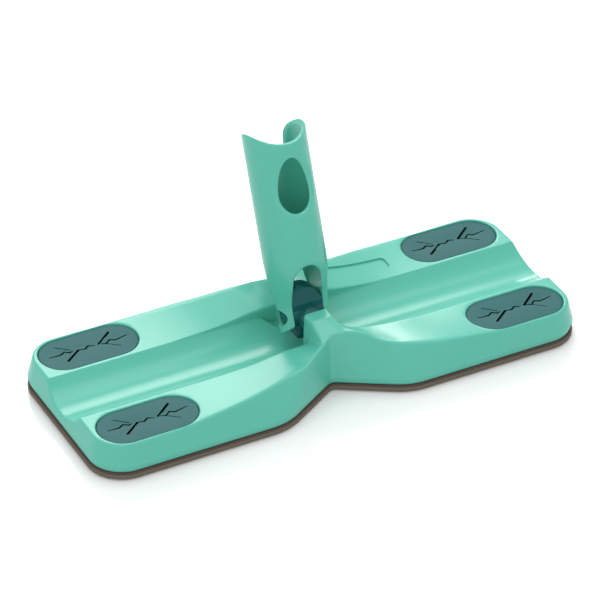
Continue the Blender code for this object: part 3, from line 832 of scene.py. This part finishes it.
def fill_pattern(outline, hole):
    """Points and triangles of the pattern, and a search tree of its edges."""
    tree = distance_tree([p for p in outline if not on_seam(p, 1e-6)] + hole)
    points = outline + hole
    edges = [(k, (k + 1) % len(outline)) for k in range(len(outline))]
    first = len(outline)
    edges += [(first + k, first + (k + 1) % len(hole)) for k in range(len(hole))]
    extra = edge_rows(outline) + edge_rows(hole)
    extra += [((u, s), GRID_CLEAR) for u in along(-HALF_ROUND + GRID_STEP / 2, HALF_ROUND, GRID_STEP)
              for s in along(LOWEST, HIGHEST, GRID_STEP)]
    for (u, s), reach in extra:
        if abs(u) > HALF_ROUND - 0.25:
            continue
        if tree.find((u, s, 0))[2] > reach * 0.93 and in_pattern((u, s), outline, hole):
            points.append((u, s))
    verts, _, faces, *_ = delaunay_2d_cdt([Vector(p) for p in points], edges, [], 1, 1e-5)
    kept = []
    for face in faces:
        centre = [sum(verts[i][axis] for i in face) / len(face) for axis in (0, 1)]
        if in_pattern(centre, outline, hole):
            kept.append(face)
    return [tuple(v) for v in verts], kept, tree


RIM_ROUND, DISH_DEPTH, ARCH_DISH = 0.75, 0.95, 2.4


def sink_of(s, edge_gap, window_gap, arch_gap):
    """How far the outside sinks at a point of the pattern, s up the tube."""
    sink = 0.0
    if edge_gap < RIM_ROUND:
        sink = RIM_ROUND - math.sqrt(RIM_ROUND ** 2 - (RIM_ROUND - edge_gap) ** 2)
    high = smooth_step(s, 52, 72)
    reach = 1.3 + 2.1 * high
    if window_gap < reach:
        sink += DISH_DEPTH * (0.45 + 0.55 * high) * (1 - window_gap / reach)
    high = smooth_step(s, 12, 22)
    if arch_gap < ARCH_DISH and s > 6:
        sink += DISH_DEPTH * high * (1 - arch_gap / ARCH_DISH)
    return sink * smooth_step(s, 4, 14)


def outside_point(u, s, sink):
    """Place in space of a point of the pattern on the outside, before the socket leans."""
    width, depth = tube_half_sizes(s)
    turn = u / TUBE
    return Vector(((width - sink) * math.sin(turn), -(depth - sink) * math.cos(turn), s))


def inside_point(u, s):
    """The same on the inside: a round bore above, and flat faces on the fork's arms below."""
    width, depth = tube_half_sizes(s)
    turn = u / TUBE
    quarter = abs(math.sin(turn))
    ring_turn = math.asin(min(1.0, quarter * TUBE / (TUBE - TUBE_WALL)))
    plain_turn = math.asin(quarter)
    part = 1 - smooth_step(math.degrees(plain_turn), 42, 80)
    ring_turn = plain_turn + (ring_turn - plain_turn) * part
    x = math.copysign((TUBE - TUBE_WALL) * math.sin(ring_turn), math.sin(turn))
    s -= (saddle_height(width * quarter) - saddle_height(x)) * smooth_step(s, 76, 88)
    y = -math.copysign((TUBE - TUBE_WALL) * math.cos(ring_turn), math.cos(turn))
    ring = Vector((x, y, s))
    face_x = math.copysign(min(ARM_INSIDE, width * quarter), x)
    flat_face = Vector((face_x, -depth * math.cos(turn), s))
    return flat_face.lerp(ring, smooth_step(s, 9, 17))


LEAN = math.radians(21)             # how far the socket leans back at rest
ARCH_SIDE, ARCH_BELOW = 20, 30      # the front arch is the part of the outline within these


def make_socket():
    """Wrap the pattern twice, close the edges between the two, and lean the tube back."""
    outline = socket_outline()
    hole = window_line()
    arch = [(u, s) for u, s in outline if abs(u) < ARCH_SIDE and s < ARCH_BELOW]
    window_tree, arch_tree = distance_tree(hole), distance_tree(arch)
    points, faces, edge_tree = fill_pattern(outline, hole)
    bm = bmesh.new()
    outer, inner = [], []
    for u, s in points:
        gaps = [tree.find((u, s, 0))[2] for tree in (edge_tree, window_tree, arch_tree)]
        outer.append(bm.verts.new(outside_point(u, s, sink_of(s, *gaps))))
        inner.append(bm.verts.new(inside_point(u, s)))
    for face in faces:
        bm.faces.new([outer[i] for i in face])
        bm.faces.new([inner[i] for i in reversed(face)])
    sides = [side for face in faces for side in zip(face, face[1:] + face[:1])]
    known = set(sides)
    for a, b in sides:
        seam = on_seam(points[a], 1e-4) and on_seam(points[b], 1e-4)
        if (b, a) not in known and not seam:
            bm.faces.new((outer[b], outer[a], inner[a], inner[b]))
    bmesh.ops.remove_doubles(bm, verts=bm.verts[:], dist=0.001)
    bmesh.ops.transform(bm, matrix=Matrix.Rotation(-LEAN, 4, 'X'), verts=bm.verts[:])
    bmesh.ops.translate(bm, vec=PIVOT, verts=bm.verts[:])
    return mesh_object("pole_tube", bm)


PIN_HOLE_RADIUS = 4.3
socket = make_socket()
cut(socket, [profile_x("pin_hole", arc(0, PIVOT.z, PIN_HOLE_RADIUS, 0, 360, 48)[:-1], 20)])
fit_piece(socket, "socket", "mint_socket", "pole_socket")

# %% [markdown]
# ## Materials
# All the plastic has the same kind of surface: a very fine moulded grain and a faint unevenness of
# colour. Two node groups make those, and each material uses them with its own values.

# %% Node groups for grain and mottle
def new_group(name, inputs, outputs):
    """Empty node group with its inputs, their usual values, and its outputs."""
    group = bpy.data.node_groups.new(name, 'ShaderNodeTree')
    for label, kind, value in inputs:
        socket_item = group.interface.new_socket(label, in_out='INPUT', socket_type=kind)
        socket_item.default_value = value
    for label, kind in outputs:
        group.interface.new_socket(label, in_out='OUTPUT', socket_type=kind)
    return group, group.nodes.new('NodeGroupInput'), group.nodes.new('NodeGroupOutput')


def make_grain_group():
    """Height of a moulded surface: fine grain over slow waves."""
    group, given, out = new_group(
        "moulded_grain",
        (("Fine scale", 'NodeSocketFloat', 4000.0), ("Wave scale", 'NodeSocketFloat', 60.0),
         ("Wave share", 'NodeSocketFloat', 0.3)),
        (("Height", 'NodeSocketFloat'),))
    place = group.nodes.new('ShaderNodeTexCoord')
    fine = group.nodes.new('ShaderNodeTexNoise')
    wave = group.nodes.new('ShaderNodeTexNoise')
    blend = group.nodes.new('ShaderNodeMix')
    fine.inputs['Detail'].default_value = 3.0
    link = group.links.new
    link(place.outputs['Object'], fine.inputs['Vector'])
    link(place.outputs['Object'], wave.inputs['Vector'])
    link(given.outputs['Fine scale'], fine.inputs['Scale'])
    link(given.outputs['Wave scale'], wave.inputs['Scale'])
    link(given.outputs['Wave share'], blend.inputs['Factor'])
    link(fine.outputs['Fac'], blend.inputs['A'])
    link(wave.outputs['Fac'], blend.inputs['B'])
    link(blend.outputs['Result'], out.inputs['Height'])
    return group


def make_mottle_group():
    """A colour that drifts a little over the surface, and a value that drifts with it."""
    group, given, out = new_group(
        "mottle",
        (("Color", 'NodeSocketColor', (1, 1, 1, 1)), ("Shade", 'NodeSocketColor', (0, 0, 0, 1)),
         ("Amount", 'NodeSocketFloat', 0.1), ("Scale", 'NodeSocketFloat', 30.0),
         ("Rough", 'NodeSocketFloat', 0.4), ("Rough drift", 'NodeSocketFloat', 0.05)),
        (("Color", 'NodeSocketColor'), ("Roughness", 'NodeSocketFloat')))
    place = group.nodes.new('ShaderNodeTexCoord')
    noise = group.nodes.new('ShaderNodeTexNoise')
    noise.inputs['Detail'].default_value = 4.0
    amount = group.nodes.new('ShaderNodeMath')
    amount.operation = 'MULTIPLY'
    blend = group.nodes.new('ShaderNodeMix')
    blend.data_type = 'RGBA'
    drift = group.nodes.new('ShaderNodeMath')
    drift.operation = 'MULTIPLY_ADD'
    link = group.links.new
    link(place.outputs['Object'], noise.inputs['Vector'])
    link(given.outputs['Scale'], noise.inputs['Scale'])
    link(noise.outputs['Fac'], amount.inputs[0])
    link(given.outputs['Amount'], amount.inputs[1])
    link(amount.outputs[0], blend.inputs['Factor'])
    link(given.outputs['Color'], blend.inputs[6])
    link(given.outputs['Shade'], blend.inputs[7])
    link(blend.outputs[2], out.inputs['Color'])
    link(noise.outputs['Fac'], drift.inputs[0])
    link(given.outputs['Rough drift'], drift.inputs[1])
    link(given.outputs['Rough'], drift.inputs[2])
    link(drift.outputs[0], out.inputs['Roughness'])
    return group


GRAIN, MOTTLE = make_grain_group(), make_mottle_group()

# %% Materials from the groups
def surface(name, color, shade_color, amount, rough, grain, depth, specular=0.5, waves=60.0,
            wave_share=0.3, drift=0.06):
    """Material whose colour, roughness and bump come from the two groups."""
    mat = bpy.data.materials.new(name)
    mat.use_nodes = True
    nodes, link = mat.node_tree.nodes, mat.node_tree.links.new
    shader = nodes["Principled BSDF"]
    mottle = nodes.new('ShaderNodeGroup')
    mottle.node_tree = MOTTLE
    mottle.inputs['Color'].default_value = (*color, 1)
    mottle.inputs['Shade'].default_value = (*shade_color, 1)
    mottle.inputs['Amount'].default_value = amount
    mottle.inputs['Scale'].default_value = waves
    mottle.inputs['Rough'].default_value = rough
    mottle.inputs['Rough drift'].default_value = drift
    height = nodes.new('ShaderNodeGroup')
    height.node_tree = GRAIN
    height.inputs['Fine scale'].default_value = grain
    height.inputs['Wave scale'].default_value = waves
    height.inputs['Wave share'].default_value = wave_share
    bump = nodes.new('ShaderNodeBump')
    bump.inputs['Strength'].default_value = 0.35
    bump.inputs['Distance'].default_value = depth
    link(mottle.outputs['Color'], shader.inputs['Base Color'])
    link(mottle.outputs['Roughness'], shader.inputs['Roughness'])
    link(height.outputs['Height'], bump.inputs['Height'])
    link(bump.outputs['Normal'], shader.inputs['Normal'])
    shader.inputs['Specular IOR Level'].default_value = specular
    return mat


MINT = surface("mint_polypropylene", (0.095, 0.475, 0.365), (0.085, 0.435, 0.335), 0.5, 0.2,
               2600.0, 0.00002, 0.42)
JOINT = surface("deep_teal_nylon", (0.007, 0.098, 0.098), (0.005, 0.080, 0.080), 0.5, 0.2,
                2600.0, 0.00002, 0.22)
RUBBER = surface("grip_rubber", (0.028, 0.128, 0.128), (0.021, 0.104, 0.106), 0.6, 0.38,
                 5200.0, 0.00004, 0.1)
DARK = surface("slit_shadow", (0.0012, 0.006, 0.006), (0.001, 0.004, 0.004), 0.5, 0.8,
               5200.0, 0.00003, 0.1)
FOAM = surface("sole_foam", (0.150, 0.132, 0.098), (0.110, 0.095, 0.070), 0.7, 0.85,
               1500.0, 0.0002, 0.2, 500.0, 0.4)
# The film's dark reddish colour is partly its own and partly painted shade under the shell's edge.
FILM_AND_SHADE = surface("backing_film_and_shade", (0.110, 0.065, 0.060), (0.085, 0.050, 0.045), 0.6, 0.6,
               3000.0, 0.00003, 0.3)
STEEL = surface("pin_steel", (0.55, 0.56, 0.57), (0.45, 0.46, 0.47), 0.5, 0.25,
                3000.0, 0.00001)
STEEL.node_tree.nodes["Principled BSDF"].inputs['Metallic'].default_value = 1.0


def paint(obj, mat):
    """Make this the object's only material."""
    obj.data.materials.clear()
    obj.data.materials.append(mat)


for piece in (head_top, base, socket):
    paint(piece, MINT)
paint(film, FILM_AND_SHADE)
paint(sole, FOAM)
paint(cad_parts["swing_pin"], STEEL)
hub = make_hub()
paint(hub, JOINT)
for side in ("left", "right"):
    paint(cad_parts[f"tilt_pin_{side}"], JOINT)
for node, corners in GRIPS.items():
    make_grip(node, corners, RUBBER, DARK)

# %% [markdown]
# ## Camera, floor and light
# A long lens looks down from the front left. The floor is pale and a little glossy. Large soft
# lights give the broad sheen on the ridge tops, and a low one behind the right end the glint on the
# front ridge.

# %% Camera
HEADING, ELEVATION, ROLL = (math.radians(a) for a in (28.21, 34.96, 0.62))
LENS, DISTANCE, SIDE_SHIFT, RISE_SHIFT = 226.4, 1.8268, -0.00143, 0.02767
ahead = Vector((math.sin(HEADING) * math.cos(ELEVATION), math.cos(HEADING) * math.cos(ELEVATION),
                -math.sin(ELEVATION)))
level = Vector((math.cos(HEADING), -math.sin(HEADING), 0))
upright = level.cross(ahead)
right = level * math.cos(ROLL) + upright * math.sin(ROLL)
up = upright * math.cos(ROLL) - level * math.sin(ROLL)
camera = bpy.data.objects.new("camera", bpy.data.cameras.new("camera"))
bpy.context.scene.collection.objects.link(camera)
turn = Matrix((right, up, -ahead)).transposed().to_4x4()
camera.matrix_world = Matrix.Translation(-ahead * DISTANCE + right * SIDE_SHIFT
                                         + up * RISE_SHIFT) @ turn
camera.data.lens = LENS
camera.data.clip_start = 0.1
bpy.context.scene.camera = camera

# %% Floor and lights
floor_bm = bmesh.new()
bmesh.ops.create_grid(floor_bm, x_segments=1, y_segments=1, size=4000)
floor = mesh_object("floor", floor_bm)
floor.location.z = -0.0006
floor_mat = bpy.data.materials.new("pale_floor")
floor_mat.use_nodes = True
floor_shader = floor_mat.node_tree.nodes["Principled BSDF"]
floor_shader.inputs['Base Color'].default_value = (0.93, 0.93, 0.93, 1)
floor_shader.inputs['Roughness'].default_value = 0.12
floor_shader.inputs['Specular IOR Level'].default_value = 0.5
paint(floor, floor_mat)

world = bpy.data.worlds.new("studio")
bpy.context.scene.world = world
world.use_nodes = True
world.node_tree.nodes["Background"].inputs['Color'].default_value = (1, 1, 1, 1)
world.node_tree.nodes["Background"].inputs['Strength'].default_value = 0.88


def soft_light(name, place, size, power, target=(0, 0, 0.02)):
    """Rectangular light that faces its target."""
    lamp = bpy.data.lights.new(name, 'AREA')
    lamp.shape = 'RECTANGLE'
    lamp.size, lamp.size_y = size
    lamp.energy = power
    obj = bpy.data.objects.new(name, lamp)
    bpy.context.scene.collection.objects.link(obj)
    obj.location = place
    aim = Vector(target) - Vector(place)
    obj.rotation_euler = aim.to_track_quat('-Z', 'Y').to_euler()
    return obj


soft_light("top_light", (0.2, 0.3, 1.6), (1.2, 1.0), 7)
soft_light("back_light", (0.42, 1.25, 1.0), (0.75, 0.7), 8)
soft_light("ridge_glint", (0.87, 1.28, 0.34), (0.4, 0.24), 1.7, (0.03, -0.033, 0.022))
soft_light("front_fill", (-1.2, -1.2, 0.9), (1.0, 1.0), 5)
bpy.context.scene.view_settings.view_transform = 'Standard'
